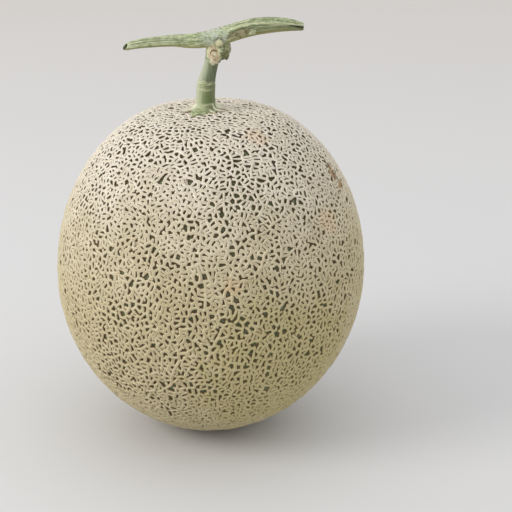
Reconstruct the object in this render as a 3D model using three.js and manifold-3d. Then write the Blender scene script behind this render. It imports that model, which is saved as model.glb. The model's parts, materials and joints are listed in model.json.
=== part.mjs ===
// A netted cantaloupe melon with its stem and a short length of vine left on.
// Millimetres, +Z up. The origin is the middle of the blossom-end spot that it rests on.

import * as THREE from 'three';
import { ConvexHull } from 'three/addons/math/ConvexHull.js';
import { mergeVertices } from 'three/addons/utils/BufferGeometryUtils.js';
import Module from 'manifold-3d';

const wasm = await Module();
wasm.setup();

// ---- driving dimensions -------------------------------------------------------------

const BODY_RADIUS = 75.7;          // at the equator
const TOP_HEIGHT = 86.2;           // from the equator to the stem end, before it is pressed
const BOTTOM_HEIGHT = 82.1;        // from the equator to the blossom end, before its flat
const TOP_EXPONENT = 2.08;         // 2 is an ellipse, more is fuller
const BOTTOM_EXPONENT = 1.96;
const LEAN = 0.0084;               // sideways shift of the body for each unit of height

const FLAT_RADIUS = 12;            // blossom-end spot
const SEAT_RADIUS = 8.6;           // level patch that the stem stands on
const CROWN_DROP = 5.2;            // how far the stem end is pressed down
const CROWN_RADIUS = 27.2;
const CROWN_EXPONENT = 4;          // 2 is a bell curve, more has a flatter middle
const STEM_X = -1.6;               // the stem is a little off the middle

const NET_CELLS = 690;             // meshes of the raised net, without those at the poles
const NET_SEED = 41;
const BLOSSOM_RING = { cells: 14, radius: 17 };
const STEM_RING = { cells: 12, radius: 13 };
const PIT_DEPTH = 1.9;
const PIT_DEPTH_SPREAD = 0.25;
const PIT_OPEN_MIN = 0.5;          // a pit floor's size as a share of its cell's
const PIT_OPEN_MAX = 0.7;

const STALK_SIDES = 28;
const FOOT_LOBES = 7;
const VINE_SIDES = 20;
const VINE_RIBS = 5;

// ---- the body's surface -------------------------------------------------------------

const FLAT_CUT = BOTTOM_HEIGHT * (1 - Math.pow(1 - Math.pow(FLAT_RADIUS / BODY_RADIUS,
  BOTTOM_EXPONENT), 1 / BOTTOM_EXPONENT));
const CENTRE_Z = BOTTOM_HEIGHT - FLAT_CUT;
const FLAT_X = -LEAN * CENTRE_Z;
const SEAT_Z = CENTRE_Z + TOP_HEIGHT - CROWN_DROP;

// Distance from the centre along a direction: |h/a|^n + |z/c|^n = 1, the superellipse
// whose half above the equator is taller than the half below it.
function bodyDistance(direction) {
  const upper = direction.z > 0;
  const exponent = upper ? TOP_EXPONENT : BOTTOM_EXPONENT;
  const halfHeight = upper ? TOP_HEIGHT : BOTTOM_HEIGHT;
  const across = Math.hypot(direction.x, direction.y) / BODY_RADIUS;
  const along = Math.abs(direction.z) / halfHeight;
  return Math.pow(Math.pow(across, exponent) + Math.pow(along, exponent), -1 / exponent);
}

// The surface point in a direction, sunk by a depth: the body leans a little, its stem
// end is pressed nearly flat by a broad bell curve, and its blossom end is levelled at
// zero height.
function bodyPoint(direction, depth = 0) {
  const point = direction.clone().multiplyScalar(bodyDistance(direction) - depth);
  point.x += LEAN * point.z;
  if (point.z > 0) {
    const out = Math.hypot(point.x, point.y) / CROWN_RADIUS;
    point.z -= CROWN_DROP * Math.exp(-Math.pow(out, CROWN_EXPONENT));
  }
  point.z = Math.max(point.z + CENTRE_Z, 0);
  return point;
}

// ---- the net's cells ----------------------------------------------------------------

function seededRandom(seed) {
  let state = seed;
  return () => {
    state = (state + 0x6d2b79f5) | 0;
    let mixed = Math.imul(state ^ (state >>> 15), 1 | state);
    mixed = (mixed + Math.imul(mixed ^ (mixed >>> 7), 61 | mixed)) ^ mixed;
    return ((mixed ^ (mixed >>> 14)) >>> 0) / 4294967296;
  };
}

// A pole and the ring of cells that keeps the net's edge round it even.
function poleSeeds(sign, count, radius) {
  const angle = radius / BODY_RADIUS;
  const seeds = [new THREE.Vector3(0, 0, sign)];
  for (let i = 0; i < count; i++) {
    const turn = (2 * Math.PI * i) / count;
    seeds.push(new THREE.Vector3(Math.sin(angle) * Math.cos(turn),
      Math.sin(angle) * Math.sin(turn), sign * Math.cos(angle)));
  }
  return seeds;
}

// Free seeds: an even spiral over the zone between the two rings, shaken at random.
function freeSeeds(random, count, lowest, highest, shake) {
  const golden = Math.PI * (3 - Math.sqrt(5));
  const seeds = [];
  for (let i = 0; i < count; i++) {
    const z = lowest + ((highest - lowest) * (i + 0.5)) / count;
    const across = Math.sqrt(1 - z * z);
    const seed = new THREE.Vector3(across * Math.cos(i * golden),
      across * Math.sin(i * golden), z);
    seed.x += shake * (random() - 0.5);
    seed.y += shake * (random() - 0.5);
    seed.z += shake * (random() - 0.5);
    seeds.push(seed.normalize());
  }
  return seeds;
}

// Neighbouring cells meet where the hull of the seeds has an edge, and three of them
// meet at a corner, which lies on the hull triangle's normal.
function spreadCells(seeds) {
  const hull = new ConvexHull().setFromPoints(seeds);
  const index = new Map(seeds.map((seed, i) => [seed, i]));
  const triangles = [];
  for (const face of hull.faces) {
    const ids = [];
    let edge = face.edge;
    do {
      ids.push(index.get(edge.head().point));
      edge = edge.next;
    } while (edge !== face.edge);
    triangles.push({ ids, corner: face.normal.clone().normalize() });
  }
  const cells = seeds.map((seed) => ({ seed, around: [] }));
  triangles.forEach((triangle, t) => triangle.ids.forEach((id) => cells[id].around.push(t)));
  for (const cell of cells) {
    const east = new THREE.Vector3(-cell.seed.y, cell.seed.x, 0);
    if (east.length() < 1e-6) east.set(1, 0, 0);
    east.normalize();
    const north = new THREE.Vector3().crossVectors(cell.seed, east);
    const bearing = (t) => Math.atan2(triangles[t].corner.dot(north),
      triangles[t].corner.dot(east));
    cell.around.sort((a, b) => bearing(a) - bearing(b));
  }
  return { triangles, cells };
}

// One step of evening out: each free seed moves part of the way to its cell's middle.
function evenOut(seeds, fixedCount, share) {
  const { triangles, cells } = spreadCells(seeds);
  return seeds.map((seed, i) => {
    if (i < fixedCount) return seed;
    const middle = new THREE.Vector3();
    for (const t of cells[i].around) middle.add(triangles[t].corner);
    return seed.clone().lerp(middle.normalize(), share).normalize();
  });
}

// ---- the fruit ----------------------------------------------------------------------

class Surface {
  constructor() {
    this.points = [];
    this.faces = [];
  }

  add(point) {
    this.points.push(point.x, point.y, point.z);
    return this.points.length / 3 - 1;
  }

  polygon(corners) {
    for (let i = 1; i < corners.length - 1; i++) {
      this.faces.push(corners[0], corners[i], corners[i + 1]);
    }
  }

  geometry() {
    const geometry = new THREE.BufferGeometry();
    geometry.setAttribute('position', new THREE.Float32BufferAttribute(this.points, 3));
    geometry.setIndex(this.faces);
    geometry.computeVertexNormals();
    return geometry;
  }
}

// A pit: walls slope from the strands round it down to a smaller floor of its shape.
function sinkPit(surface, cell, corners, rim, random) {
  const depth = PIT_DEPTH + PIT_DEPTH_SPREAD * (2 * random() - 1);
  const open = THREE.MathUtils.lerp(PIT_OPEN_MIN, PIT_OPEN_MAX, random());
  const floor = corners.map((corner) => surface.add(
    bodyPoint(cell.seed.clone().lerp(corner, open).normalize(), depth)));
  rim.forEach((from, i) => {
    const j = (i + 1) % rim.length;
    surface.polygon([from, rim[j], floor[j], floor[i]]);
  });
  surface.polygon(floor);
}

// Where three meshes of the net meet. The corners of the two level patches, the
// blossom-end spot and the stem's seat, lie on circles in their planes.
function netCorner(triangle, blossomId, seatId) {
  const { ids, corner } = triangle;
  const level = (middleX, height, radius) => {
    const bearing = Math.atan2(corner.y, corner.x);
    return new THREE.Vector3(middleX + radius * Math.cos(bearing),
      radius * Math.sin(bearing), height);
  };
  if (ids.includes(blossomId)) return level(FLAT_X, 0, FLAT_RADIUS);
  if (ids.includes(seatId)) return level(STEM_X, SEAT_Z, SEAT_RADIUS);
  return bodyPoint(corner);
}

// The whole fruit: strands run along the edges between the cells at full height, and
// inside each cell is a pit. The cells at the poles stay level.
function fruitGeometry() {
  const random = seededRandom(NET_SEED);
  const blossom = poleSeeds(-1, BLOSSOM_RING.cells, BLOSSOM_RING.radius);
  const stemEnd = poleSeeds(1, STEM_RING.cells, STEM_RING.radius);
  const fixed = [...blossom, ...stemEnd];
  let seeds = [...fixed, ...freeSeeds(random, NET_CELLS, -0.955, 0.97, 0.08)];
  for (const share of [0.7, 0.5, 0.3]) seeds = evenOut(seeds, fixed.length, share);

  const { triangles, cells } = spreadCells(seeds);
  const surface = new Surface();
  const blossomId = 0;
  const seatId = blossom.length;
  const crest = triangles.map((triangle) => surface.add(
    netCorner(triangle, blossomId, seatId)));
  cells.forEach((cell, i) => {
    const rim = cell.around.map((t) => crest[t]);
    if (i === blossomId || i === seatId) surface.polygon(rim);
    else sinkPit(surface, cell, cell.around.map((t) => triangles[t].corner), rim, random);
  });
  return surface.geometry();
}

// ---- the stem -----------------------------------------------------------------------

// Stations up the stalk: sideways place, height above the seat, radius, lobe height.
const STALK_STATIONS = [
  { x: STEM_X, up: 0, radius: 6.7, lobe: 1.3 },
  { x: STEM_X, up: 1.3, radius: 5.5, lobe: 0.75 },
  { x: -1.55, up: 3.4, radius: 4.65, lobe: 0.3 },
  { x: -1.5, up: 7.6, radius: 4.35, lobe: 0.12 },
  { x: -1.2, up: 12.2, radius: 4.3, lobe: 0.1 },
  { x: -1.1, up: 13, radius: 4.05, lobe: 0.1 },
  { x: -0.3, up: 17.7, radius: 3.75, lobe: 0.1 },
  { x: 1, up: 22.6, radius: 3.4, lobe: 0.1 },
  { x: 2, up: 28, radius: 3.5, lobe: 0.1 },
  { x: 2.4, up: 34, radius: 3, lobe: 0.1 },
];

// Stations along the vine, from its thin cut end to its thick one.
const VINE_STATIONS = [
  { x: -40, y: -2, up: 31.2, radius: 1.6 },
  { x: -31.6, y: -1.6, up: 32.6, radius: 2.15 },
  { x: -18.4, y: -0.9, up: 33.6, radius: 2.65 },
  { x: -5.2, y: -0.2, up: 33.5, radius: 3.6 },
  { x: 8, y: 0.2, up: 36.2, radius: 3.95 },
  { x: 21.2, y: 0.8, up: 39.7, radius: 4.1 },
  { x: 34.4, y: 1.4, up: 40.7, radius: 3.5 },
  { x: 44.6, y: 1.9, up: 39.5, radius: 1.9 },
];
const VINE_STEPS = 26;
const VINE_RIB_SHARE = 0.07;
const CUT_DISH = 0.8;

// The scar of a leaf stalk, and the swelling beside it where tendrils grew.
const LEAF_SCAR = { x: 2, y: -2.2, up: 26.4, radii: [3.4, 2.7, 4.7], turn: -0.58 };
const NODE_SWELLING = { x: 6, y: -0.2, up: 29.4, radii: [4.5, 3.9, 5.6], turn: 0.2 };

// Rings of points joined into one closed skin. Each end is capped round a middle point,
// which is drawn inwards by the dish.
function loft(rings, dish) {
  const surface = new Surface();
  const sides = rings[0].length;
  const ids = rings.map((ring) => ring.map((point) => surface.add(point)));
  for (let i = 0; i < rings.length - 1; i++) {
    for (let k = 0; k < sides; k++) {
      const next = (k + 1) % sides;
      surface.polygon([ids[i][k], ids[i][next], ids[i + 1][next], ids[i + 1][k]]);
    }
  }
  const middle = (ring) => ring.reduce((sum, p) => sum.add(p), new THREE.Vector3())
    .divideScalar(sides);
  const first = middle(rings[0]);
  const last = middle(rings[rings.length - 1]);
  const inwards = last.clone().sub(first).normalize().multiplyScalar(dish);
  const firstId = surface.add(first.add(inwards));
  const lastId = surface.add(last.sub(inwards));
  for (let k = 0; k < sides; k++) {
    const next = (k + 1) % sides;
    surface.faces.push(ids[0][next], ids[0][k], firstId);
    surface.faces.push(ids[rings.length - 1][k], ids[rings.length - 1][next], lastId);
  }
  return surface.geometry();
}

// The stalk: level rings up a slightly bent line, lobed like roots at the foot.
function stalkGeometry() {
  const rings = STALK_STATIONS.map((station) => {
    const ring = [];
    for (let k = 0; k < STALK_SIDES; k++) {
      const bearing = (2 * Math.PI * k) / STALK_SIDES;
      const radius = station.radius + station.lobe * Math.cos(FOOT_LOBES * bearing);
      ring.push(new THREE.Vector3(station.x + radius * Math.cos(bearing),
        radius * Math.sin(bearing), SEAT_Z + station.up));
    }
    return ring;
  });
  return loft(rings, 0);
}

// The vine: ribbed rings square to a smooth line through its stations.
function vineGeometry() {
  const line = new THREE.CatmullRomCurve3(VINE_STATIONS.map(
    (s) => new THREE.Vector3(s.x, s.y, SEAT_Z + s.up)), false, 'catmullrom');
  const girth = new THREE.CatmullRomCurve3(VINE_STATIONS.map(
    (s) => new THREE.Vector3(s.radius, 0, 0)), false, 'catmullrom');
  const rings = [];
  for (let i = 0; i <= VINE_STEPS; i++) {
    const t = i / VINE_STEPS;
    const middle = line.getPoint(t);
    const along = line.getTangent(t);
    const across = new THREE.Vector3(0, 0, 1).cross(along).normalize();
    const up = new THREE.Vector3().crossVectors(along, across);
    const radius = girth.getPoint(t).x;
    const ring = [];
    for (let k = 0; k < VINE_SIDES; k++) {
      const bearing = (2 * Math.PI * k) / VINE_SIDES;
      const reach = radius * (1 + VINE_RIB_SHARE * Math.cos(VINE_RIBS * bearing));
      ring.push(middle.clone().addScaledVector(across, reach * Math.cos(bearing))
        .addScaledVector(up, reach * Math.sin(bearing)));
    }
    rings.push(ring);
  }
  return loft(rings, CUT_DISH);
}

function lumpGeometry(lump) {
  const geometry = new THREE.IcosahedronGeometry(1, 3);
  geometry.scale(...lump.radii);
  geometry.rotateZ(lump.turn);
  geometry.translate(lump.x, lump.y, SEAT_Z + lump.up);
  return geometry;
}

function toSolid(geometry) {
  geometry.deleteAttribute('normal');
  geometry.deleteAttribute('uv');
  const merged = mergeVertices(geometry, 1e-4);
  return new wasm.Manifold(new wasm.Mesh({
    numProp: 3,
    vertProperties: merged.attributes.position.array,
    triVerts: Uint32Array.from(merged.index.array),
  }));
}

function toGeometry(solid) {
  const mesh = solid.getMesh();
  const geometry = new THREE.BufferGeometry();
  geometry.setAttribute('position', new THREE.BufferAttribute(mesh.vertProperties, 3));
  geometry.setIndex(new THREE.BufferAttribute(mesh.triVerts, 1));
  geometry.computeVertexNormals();
  return geometry;
}

function stemGeometry() {
  const pieces = [vineGeometry(), lumpGeometry(NODE_SWELLING), lumpGeometry(LEAF_SCAR)];
  const whole = pieces.reduce((solid, piece) => solid.add(toSolid(piece)),
    toSolid(stalkGeometry()));
  return toGeometry(whole);
}

// ---- the melon ----------------------------------------------------------------------

const cork = new THREE.MeshStandardMaterial({
  color: 0xc9bfa0, roughness: 0.85, metalness: 0,
});
const greenStem = new THREE.MeshStandardMaterial({
  color: 0x9aa873, roughness: 0.7, metalness: 0,
});

function piece(name, geometry, material) {
  const mesh = new THREE.Mesh(geometry, material);
  mesh.name = name;
  return mesh;
}

const melon = new THREE.Group();
melon.add(piece('netted_fruit', fruitGeometry(), cork));
melon.add(piece('vine_stem', stemGeometry(), greenStem));

export default melon;
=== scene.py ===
"""A netted cantaloupe melon with its stem and a length of vine, dressed in Blender.

The lesson builds the melon from formulas, one piece at a time: the netted rind, the stalk
with its vine, the paint on both, and then the floor, the light and the camera.

The body of the fruit is a superellipse turned round the upright axis. Along a direction
with a level part h and an upright part v, its surface is where (h / radius) to the power n
plus (v / height) to the power n is one. The half above the equator is the taller one. The
body leans a little, a broad bell curve presses its stem end nearly flat, and a level cut
makes the spot that it rests on.

All lengths are in millimetres until a mesh is made, which is in metres.
"""

import json
import math

import bpy
import numpy as np
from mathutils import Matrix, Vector
from mathutils.geometry import delaunay_2d_cdt

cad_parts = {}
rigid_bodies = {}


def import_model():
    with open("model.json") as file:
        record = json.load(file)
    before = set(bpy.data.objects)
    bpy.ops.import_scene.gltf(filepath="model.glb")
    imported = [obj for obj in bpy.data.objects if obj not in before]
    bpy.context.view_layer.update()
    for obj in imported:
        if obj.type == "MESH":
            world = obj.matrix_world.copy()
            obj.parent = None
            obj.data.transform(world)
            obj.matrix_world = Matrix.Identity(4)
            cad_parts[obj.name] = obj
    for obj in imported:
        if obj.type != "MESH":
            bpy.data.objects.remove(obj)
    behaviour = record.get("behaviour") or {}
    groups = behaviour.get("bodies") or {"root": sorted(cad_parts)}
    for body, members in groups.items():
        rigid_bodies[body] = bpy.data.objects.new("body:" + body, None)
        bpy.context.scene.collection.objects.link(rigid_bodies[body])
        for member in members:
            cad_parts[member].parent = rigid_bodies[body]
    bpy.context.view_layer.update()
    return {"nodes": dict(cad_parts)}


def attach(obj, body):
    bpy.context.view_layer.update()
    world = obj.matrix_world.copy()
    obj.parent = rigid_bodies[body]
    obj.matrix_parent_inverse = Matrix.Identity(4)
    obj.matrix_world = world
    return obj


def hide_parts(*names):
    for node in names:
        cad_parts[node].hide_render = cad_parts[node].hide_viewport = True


for leftover in list(bpy.data.objects):
    bpy.data.objects.remove(leftover)

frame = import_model()
print("the frame holds", sorted(frame["nodes"]))

# %% [markdown]
# ## The body
#
# The melon's own sizes come first. The widest ring, the two half heights and the spot that
# the fruit rests on are the sizes that a maker would take with a caliper, and every other
# measure here is worked out from them. They are the solid melon's own, so that the dressed
# one fills the same space.

# %% Driving sizes
MM = 0.001
BODY_RADIUS = 75.7
TOP_HEIGHT = 86.2
BOTTOM_HEIGHT = 82.1
TOP_FULLNESS = 2.08
BOTTOM_FULLNESS = 1.96
LEAN = 0.0084
FLAT_RADIUS = 12.0
CROWN_DROP = 5.2
CROWN_RADIUS = 27.2
CROWN_FLATNESS = 4
STEM_X = -1.6

FLAT_CUT = BOTTOM_HEIGHT * (
    1 - (1 - (FLAT_RADIUS / BODY_RADIUS) ** BOTTOM_FULLNESS) ** (1 / BOTTOM_FULLNESS)
)
CENTRE_Z = BOTTOM_HEIGHT - FLAT_CUT
SEAT_Z = CENTRE_Z + TOP_HEIGHT - CROWN_DROP
print(f"the middle of the body is {CENTRE_Z:.2f} mm up, the stem stands at {SEAT_Z:.2f} mm")


# %% The body's surface
def unit(vectors):
    """Each row divided by its own length."""
    return vectors / np.linalg.norm(vectors, axis=-1, keepdims=True)


def crown_press(points):
    """How far the crown is pressed down at each point: the full drop times the exponential
    of less the distance from the upright axis, in crown radii, to a power."""
    out = np.hypot(points[:, 0], points[:, 1]) / CROWN_RADIUS
    return CROWN_DROP * np.exp(-(out**CROWN_FLATNESS))


def body_surface(directions, depth=0.0, floor=0.0):
    """Superellipse distance along each direction less the depth, then the lean, the broad
    bell that presses the crown down, and the level cut at the floor height."""
    upper = directions[:, 2] > 0
    fullness = np.where(upper, TOP_FULLNESS, BOTTOM_FULLNESS)
    half_height = np.where(upper, TOP_HEIGHT, BOTTOM_HEIGHT)
    level = np.hypot(directions[:, 0], directions[:, 1]) / BODY_RADIUS
    upright = np.abs(directions[:, 2]) / half_height
    distance = (level**fullness + upright**fullness) ** (-1 / fullness)
    points = directions * (distance - depth)[:, None]
    points[:, 0] += LEAN * points[:, 2]
    points[:, 2] -= np.where(upper, crown_press(points), 0)
    points[:, 2] = np.maximum(points[:, 2] + CENTRE_Z, floor)
    return points


stem_end, side = body_surface(np.array([[0, 0, 1.0], [1.0, 0, 0]]))
print(f"the stem end is {stem_end[2]:.1f} mm up and the side {side[0]:.1f} mm out")

# %% [markdown]
# ## The cork net
#
# A netted melon's skin cracks as the fruit swells, and cork grows out of every crack. The
# result is thousands of short pale strands that butt into each other, with small dark
# openings between them where the green skin is still bare. A bump map alone would leave
# the outline smooth and the openings without depth, so the strands are real relief.
#
# The cracks are laid out first. Seeds are spread evenly over a ball and shaken, and the
# lines halfway between neighbouring seeds are the cracks. At each meeting of three, the
# straightest two run on as one strand and the third stops against it, as cork does.

# %% Seeds for the openings
NET_CELLS = 10500
NET_SHAKE = 0.5
POLE_MARGIN = 0.999

random = np.random.default_rng(5)


def even_seeds(count, shake):
    """Points on a ball of radius one: the first at the south pole, then a spiral with
    equal steps in height and the golden angle in turn, shaken by a share of its spacing."""
    index = np.arange(count)
    height = POLE_MARGIN * (2 * (index + 0.5) / count - 1)
    turn = index * math.pi * (3 - math.sqrt(5))
    out = np.sqrt(1 - height**2)
    seeds = np.stack([out * np.cos(turn), out * np.sin(turn), height], 1)
    seeds += random.normal(size=seeds.shape) * math.sqrt(4 * math.pi / count) * shake
    return np.concatenate([[[0, 0, -1.0]], unit(seeds)])


shaken = even_seeds(NET_CELLS, NET_SHAKE)
print(len(shaken), "shaken seeds")

# %% Cells of more even size
EVENING = 0.5
STRAND_BALL = 75.0


def triangles_between(seeds):
    """Neighbour triangles on a ball. Seen from the south pole on a flat sheet, neighbours
    stay neighbours, so the flat triangles are the right ones, and those round the sheet's
    rim close the ball at the pole."""
    sheet = 2 * seeds[1:, :2] / (1 + seeds[1:, 2:3])
    flat = delaunay_2d_cdt([Vector(place) for place in sheet.tolist()], [], [], 0, 1e-12, False)
    inner = np.array(flat[2]) + 1
    edges = np.concatenate([inner[:, [0, 1]], inner[:, [1, 2]], inner[:, [2, 0]]])
    there, back = edges @ [len(seeds), 1], edges @ [1, len(seeds)]
    rim = edges[~np.isin(there, back)]
    return np.concatenate([inner, np.stack([rim[:, 1], rim[:, 0], np.zeros(len(rim), int)], 1)])


def meeting_points(seeds, triangles):
    """The point as far from all three seeds of a triangle: the way that it faces."""
    a, b, c = (seeds[triangles[:, k]] for k in range(3))
    return unit(np.cross(b - a, c - a))


def evened(seeds, share):
    """Each seed moved a share of the way to the middle of its cell's corners."""
    triangles = triangles_between(seeds)
    corners = meeting_points(seeds, triangles)
    middle = np.zeros_like(seeds)
    for k in range(3):
        np.add.at(middle, triangles[:, k], corners)
    moved = unit(seeds * (1 - share) + unit(middle) * share)
    moved[0] = seeds[0]
    return moved


seeds = evened(shaken, EVENING)
print(f"a cell covers {4 * math.pi * STRAND_BALL**2 / len(seeds):.1f} square millimetres")

# %% Cells drawn out
CELL_STRETCH = 0.045


def drawn_out(directions):
    """The directions with their angle from the upright axis stretched round the middle and
    the lower half, so that the cells there are longer from stem to foot than across."""
    angle = np.arccos(directions[:, 2].clip(-1, 1))
    stretched = angle - CELL_STRETCH * (2 * np.sin(2 * angle) - np.sin(3 * angle))
    out = np.sin(stretched) / np.sin(angle).clip(1e-9)
    level = directions[:, :2] * out[:, None]
    return unit(np.concatenate([level, np.cos(stretched)[:, None]], 1))


above_and_below = drawn_out(unit(np.array([[1, 0, 0.01], [1, 0, -0.01]])))
print(f"cells at the widest ring are {np.ptp(above_and_below[:, 2]) / 0.02:.2f} times as tall")

# %% Cracks between the cells
# Two triangles that share an edge lie next to each other once the edges are sorted by
# their two seeds, and a crack runs from the corner of one to the corner of the other. The
# rows of at_corner are the three cracks that meet at each corner.
triangles = triangles_between(seeds)
corners = drawn_out(meeting_points(seeds, triangles))
edges = np.concatenate([triangles[:, [0, 1]], triangles[:, [1, 2]], triangles[:, [2, 0]]])
order = np.argsort(edges.min(1) * len(seeds) + edges.max(1), kind="stable")
beside = np.tile(np.arange(len(triangles)), 3)[order]
first, second = beside[0::2], beside[1::2]
crack_count = len(first)
at_corner = np.argsort(np.concatenate([first, second]), kind="stable") % crack_count
at_corner = at_corner.reshape(-1, 3)
print(crack_count, "cracks meet at", len(corners), "corners")

# %% Cracks that run on
# At each corner the pair of cracks that bends least, give or take a random amount, is one
# strand. The corner moves halfway to the middle of that pair's far ends.
BEND_SPREAD = 0.3

every = np.arange(len(corners))
next_to = first[at_corner] + second[at_corner] - every[:, None]
way = unit(corners[next_to] - corners[:, None])
pairs = np.array([[0, 1], [1, 2], [2, 0]])
bend = (way[:, pairs[:, 0]] * way[:, pairs[:, 1]]).sum(-1)
bend += BEND_SPREAD * random.normal(size=bend.shape)
through = pairs[bend.argmin(1)]
one, other = (next_to[every, through[:, k]] for k in (0, 1))
joined = [at_corner[every, through[:, k]] for k in (0, 1)]
stopped = at_corner[every, 3 - through.sum(1)]
corners = unit((corners + (corners[one] + corners[other]) / 2) / 2)
print(len(np.unique(stopped)), "cracks stop against another")

# %% Widths and heights of the strands
# Two random numbers for each crack are averaged three times with those of the cracks that
# it runs on into, so that a strand changes slowly along its way.
STRAND_WIDTH = (0.78, 1.0)
STRAND_TOP = (0.75, 1.0)
STOPPED_TOP = 0.88
SIZE_SPREAD = 3.4

sizes = random.normal(size=(crack_count, 2))
for _ in range(3):
    total, number = sizes.copy(), np.ones(crack_count)
    for here, there in (joined, joined[::-1]):
        np.add.at(total, here, sizes[there])
        np.add.at(number, here, 1)
    sizes = total / number[:, None]
sizes = (sizes / sizes.std(0) / SIZE_SPREAD + 0.5).clip(0, 1)
width = STRAND_WIDTH[0] + (STRAND_WIDTH[1] - STRAND_WIDTH[0]) * sizes[:, 0]
top = STRAND_TOP[0] + (STRAND_TOP[1] - STRAND_TOP[0]) * sizes[:, 1:].repeat(2, 1)
top[stopped, (second[stopped] == every).astype(int)] *= STOPPED_TOP
print(f"strands are {2 * width.min():.2f} to {2 * width.max():.2f} mm wide at their foot")

# %% The strands
# A few cracks never grew cork, and some stop halfway. All others run on a little past
# their corner, into the strand that they meet.
MISSING_SHARE = 0.03
BLIND_SHARE = 0.14
BLIND_REACH = (0.3, 0.6)
RUN_ON = 0.3

keep = random.random(crack_count) >= MISSING_SHARE
swap = random.random(crack_count) < 0.5
ends = np.stack([corners[first], corners[second]], 1) * STRAND_BALL
ends = np.where(swap[:, None, None], ends[:, ::-1], ends)
top = np.where(swap[:, None], top[:, ::-1], top)
blind = random.random(crack_count) < BLIND_SHARE
blind_reach = random.uniform(*BLIND_REACH, crack_count)
reach = np.where(blind, blind_reach, 1 + random.uniform(0, RUN_ON, crack_count))
ends[:, 1] = ends[:, 0] + (ends[:, 1] - ends[:, 0]) * reach[:, None]
rod_start, rod_end, rod_width, rod_top = ends[keep, 0], ends[keep, 1], width[keep], top[keep]
print(len(rod_start), "segments of cork")

# %% [markdown]
# Next comes the height of the cork over any point of the skin. Each strand is a rod with
# rounded shoulders and a height of its own, and the cork is as high as the highest rod
# there. Where two strands meet side by side, their shoulders leave a fine valley, and a
# low strand disappears under a high one, which is what makes the net read as many strands
# and not as one sheet.
#
# Measuring every point against every rod would take hours. Space is cut into boxes
# instead, and a point is measured only against the rods in the boxes round it.


# %% Rods near a point
def near_pairs(points, places, size):
    """All pairs of a point and a place in the same or a touching box of the given size,
    as two arrays of row numbers, in the points' order, and each point's first pair and
    number of pairs."""
    low = np.minimum(points.min(0), places.min(0)) - 2 * size
    high = np.maximum(points.max(0), places.max(0)) + 2 * size
    boxes = np.ceil((high - low) / size).astype(np.int64)
    weights = np.array([boxes[1] * boxes[2], boxes[2], 1])
    around = np.stack(np.meshgrid(*[[-1, 0, 1]] * 3), -1).reshape(-1, 3)
    of_point = ((points - low) / size).astype(np.int64) @ weights
    of_place = ((((places - low) / size).astype(np.int64)[:, None] + around) @ weights).ravel()
    order = np.argsort(of_place, kind="stable")
    sorted_places = of_place[order]
    first = np.searchsorted(sorted_places, of_point, "left")
    number = np.searchsorted(sorted_places, of_point, "right") - first
    start = np.cumsum(number) - number
    index = np.arange(number.sum()) - start.repeat(number) + first.repeat(number)
    return np.arange(len(points)).repeat(number), order[index] // len(around), start, number


def highest(values, first, number):
    """The highest of each point's pairs, and 0 where it has none."""
    found = np.zeros(len(number))
    some = number > 0
    found[some] = np.maximum.reduceat(values, first[some])
    return found


rod_middle = (rod_start + rod_end) / 2
box_size = 0.5 * np.linalg.norm(rod_end - rod_start, axis=1).max() + 2 * rod_width.max()
print(f"a box of {box_size:.1f} mm holds each rod's reach")


# %% Smooth noise
def waves(points, length, seed, count=24):
    """Smooth noise near one unit high: the sum of plane waves in random directions, each
    about the given length, with random starts."""
    random = np.random.default_rng(seed)
    pull = unit(random.normal(size=(count, 3))) * random.uniform(0.6, 1.4, (count, 1))
    start = random.uniform(0, 2 * math.pi, count)
    return np.sin(points @ (pull * 2 * math.pi / length).T + start).sum(1) / math.sqrt(count / 2)


sample = waves(rod_middle, 5.7, 1)
print(f"waves run from {sample.min():.1f} to {sample.max():.1f}, and spread {sample.std():.1f}")

# %% Height of the cork
STRAND_FLATNESS = 2.2
WANDER = 0.14
WANDER_LENGTH = 5.7
SWELL = 0.06
SWELL_LENGTH = 32
CROWN_THINNING = 0.14
BLOCK = 60000


def cork_over(directions):
    """The height of the cork over each direction, from 0 on bare skin to 1, and how deep
    inside the highest strand it is: 1 on its middle line, 0 at its edge, and down to -1 on
    bare skin. A strand is as high as the root of one less a power of the distance to it in
    its half widths, times its own height there. Fine waves move the point first, so that no
    strand is quite straight, and strands are thinner towards the stem."""
    points = directions * STRAND_BALL
    points = points + WANDER * np.stack([waves(points, WANDER_LENGTH, k) for k in (1, 2, 3)], 1)
    swell = 1 + SWELL * waves(points, SWELL_LENGTH, 11)
    swell -= CROWN_THINNING * (directions[:, 2] * 2 - 1).clip(0, 1)
    height, inside = np.zeros((2, len(points)))
    for block in range(0, len(points), BLOCK):
        here = slice(block, block + BLOCK)
        point, rod, first, number = near_pairs(points[here], rod_middle, box_size)
        run = (rod_end - rod_start)[rod]
        away = points[here][point] - rod_start[rod]
        along = ((away * run).sum(1) / (run * run).sum(1)).clip(0, 1)
        distance = np.linalg.norm(away - run * along[:, None], axis=1)
        distance = distance / (rod_width[rod] * swell[here][point])
        rise = np.sqrt((1 - distance**STRAND_FLATNESS).clip(0, 1))
        rise = rise * (rod_top[rod, 0] + (rod_top[rod, 1] - rod_top[rod, 0]) * along)
        rise += (2 - distance).clip(0, 1)
        best = highest(rise, first, number)
        height[here] = (best - 1).clip(0, 1)
        winning = (2 - distance).clip(0, 2) * (rise >= best[point])
        inside[here] = highest(winning, first, number) - 1
    return height, inside


height, inside = cork_over(unit(rod_middle[:2000]))
print(f"the cork is {height.mean():.2f} high on the strands' middle lines")

# %% [markdown]
# The rind is one closed surface over the whole fruit, cork and bare skin alike. It is
# worked out on a very fine ball and then thinned by a Decimate modifier, which spends its
# faces where the strands bend and saves them on their flat tops. The floor of an opening
# is dished, so that it keeps points of its own for the skin's colour.
#
# One mesh with this many faces is heavy to handle, so the thinned rind is dealt out to
# six sectors that meet edge to edge. Each keeps the normals that the whole rind had, so
# that no seam shows where they meet.


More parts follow.
